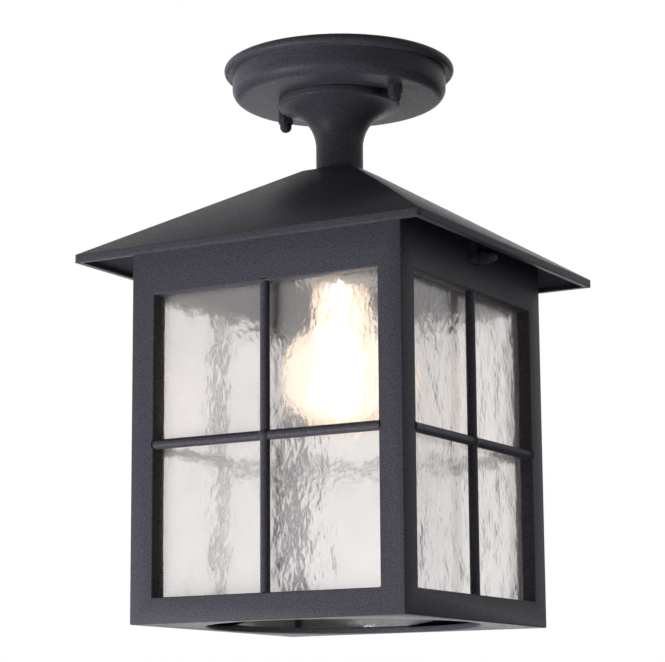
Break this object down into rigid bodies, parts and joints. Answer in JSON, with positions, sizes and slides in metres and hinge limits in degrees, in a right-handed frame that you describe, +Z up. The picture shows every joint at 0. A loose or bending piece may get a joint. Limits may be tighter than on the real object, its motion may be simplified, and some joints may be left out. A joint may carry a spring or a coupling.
{
  "type": "porch ceiling lantern",
  "caption": "Square porch lantern with rippled glass panes and crossed bars, hung under a pyramid roof on a flared stem from a round ceiling plate.",
  "frame": {"origin": "centre of the ceiling plane, where the plate's rim and the bracket meet the ceiling", "axes": "+Z up into the ceiling, -Y out of the front window, +X out of the right window, whose side fixing shows"},
  "size_m": [0.2, 0.2, 0.2975],
  "materials": {
    "coated_casting": "cast aluminium under a fine-textured black powder coat",
    "coated_steel": "steel under a fine-textured black powder coat",
    "coated_strip": "aluminium angle under a black powder coat",
    "rippled_glass": "clear glass, hammered and rippled on one side",
    "zinc_steel": "bright zinc-plated steel",
    "brass": "plain brass",
    "nickel_brass": "nickel-plated brass",
    "white_plastic": "natural moulded plastic",
    "black_phenolic": "black moulded phenolic",
    "glazed_porcelain": "glazed white porcelain",
    "steatite": "unglazed steatite",
    "opal_glass": "pearl white glass, lit",
    "brown_sleeve": "brown sleeve",
    "blue_sleeve": "blue sleeve",
    "green_yellow_sleeve": "green and yellow sleeve"
  },
  "bodies": {
    "ceiling_fitting": {"mounting_bracket": "zinc_steel", "mount_studs": "zinc_steel", "stud_locknuts": "zinc_steel", "earth_tag": "zinc_steel", "earth_screw": "brass", "terminal_block": "white_plastic", "terminal_tubes": "brass", "terminal_screws": "zinc_steel", "block_screw": "zinc_steel", "live_lead": "brown_sleeve", "neutral_lead": "blue_sleeve", "earth_lead": "green_yellow_sleeve", "ceiling_plate": "coated_steel", "nut_washers": "coated_steel", "stem": "coated_casting", "stem_tube": "zinc_steel", "tube_washer_top": "zinc_steel", "tube_nut_top": "zinc_steel", "tube_washer_bottom": "zinc_steel", "tube_nut_bottom": "zinc_steel", "roof": "coated_casting", "roof_lugs": "coated_steel", "lampholder_cap": "glazed_porcelain", "lampholder_skirt": "glazed_porcelain", "lampholder_insert": "steatite", "lampholder_screws": "brass", "screw_shell": "brass", "centre_contact": "brass"},
    "cage": {"cage_frame": "coated_casting", "pane_front": "rippled_glass", "pane_right": "rippled_glass", "pane_back": "rippled_glass", "pane_left": "rippled_glass", "corner_strip_front_left": "coated_strip", "corner_strip_front_right": "coated_strip", "corner_strip_back_right": "coated_strip", "corner_strip_back_left": "coated_strip", "strip_screws": "coated_steel", "cage_studs": "zinc_steel", "side_washers": "coated_steel"},
    "lamp": {"lamp_envelope": "opal_glass", "lamp_cap": "nickel_brass", "lamp_insulator": "black_phenolic", "lamp_contact": "nickel_brass"},
    "plate_nut_right": {"plate_nut_right": "coated_steel"},
    "plate_nut_left": {"plate_nut_left": "coated_steel"},
    "side_nut_right": {"side_nut_right": "coated_steel"},
    "side_nut_left": {"side_nut_left": "coated_steel"}
  },
  "joints": [
    {"name": "cage_drop", "type": "slide", "parent": "ceiling_fitting", "child": "cage", "axis": [0, 0, -1], "range_m": [0, 0.12]},
    {"name": "lamp_turn", "type": "hinge", "parent": "ceiling_fitting", "child": "lamp", "pos_m": [0, 0, -0.1], "axis": [0, 0, 1], "continuous": true},
    {"name": "plate_nut_right_turn", "type": "hinge", "parent": "ceiling_fitting", "child": "plate_nut_right", "pos_m": [0.03968, -0.01034, -0.022], "axis": [0, 0, 1], "continuous": true},
    {"name": "plate_nut_left_turn", "type": "hinge", "parent": "ceiling_fitting", "child": "plate_nut_left", "pos_m": [-0.03968, 0.01034, -0.022], "axis": [0, 0, 1], "continuous": true},
    {"name": "side_nut_right_turn", "type": "hinge", "parent": "cage", "child": "side_nut_right", "pos_m": [0.087, 0, -0.1136], "axis": [1, 0, 0], "continuous": true},
    {"name": "side_nut_left_turn", "type": "hinge", "parent": "cage", "child": "side_nut_left", "pos_m": [-0.087, 0, -0.1136], "axis": [-1, 0, 0], "continuous": true}
  ]
}
